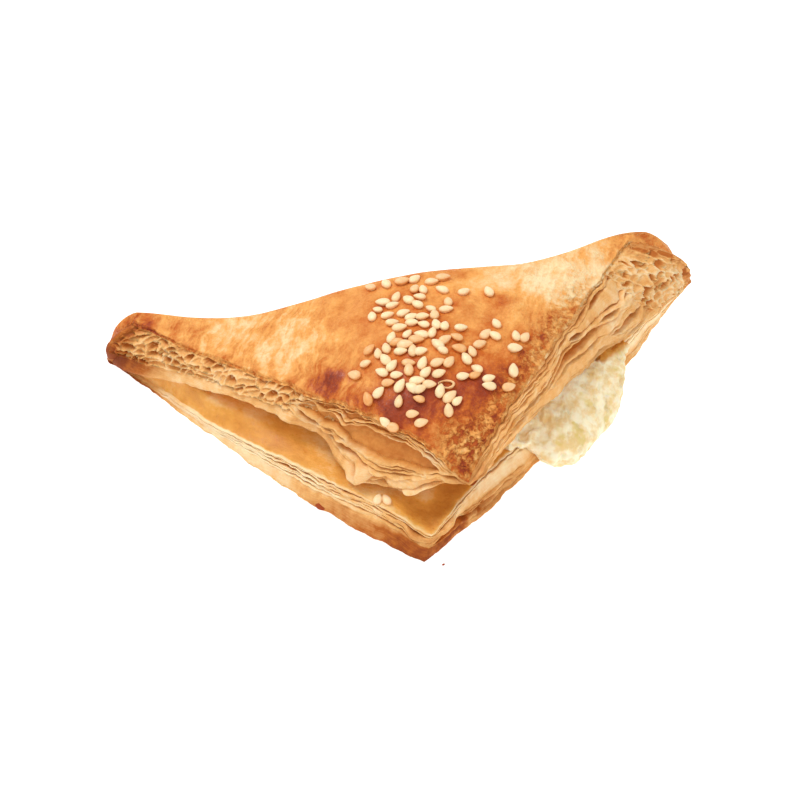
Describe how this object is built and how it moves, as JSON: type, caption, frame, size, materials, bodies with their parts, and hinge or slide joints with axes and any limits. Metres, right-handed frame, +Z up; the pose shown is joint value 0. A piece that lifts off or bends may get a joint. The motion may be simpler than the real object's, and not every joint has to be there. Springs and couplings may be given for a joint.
{
  "type": "sesame turnover pastry",
  "caption": "Right-angled puff pastry turnover, folded corner to corner, with puffed cut edges, sesame seeds baked on the top and pale filling coming out of one side.",
  "frame": {"origin": "under the middle of the bounding box, on the surface that the pastry lies on", "axes": "+X along the fold from the left tip to the right tip, +Y towards the fold at the back, +Z up; the right-angled corner points to -Y"},
  "size_m": [0.137, 0.0764, 0.0272],
  "materials": {
    "crust": null,
    "filling": null,
    "sesame": null
  },
  "bodies": {
    "root": {"pastry": "crust", "filling": "filling"}
  },
  "joints": []
}
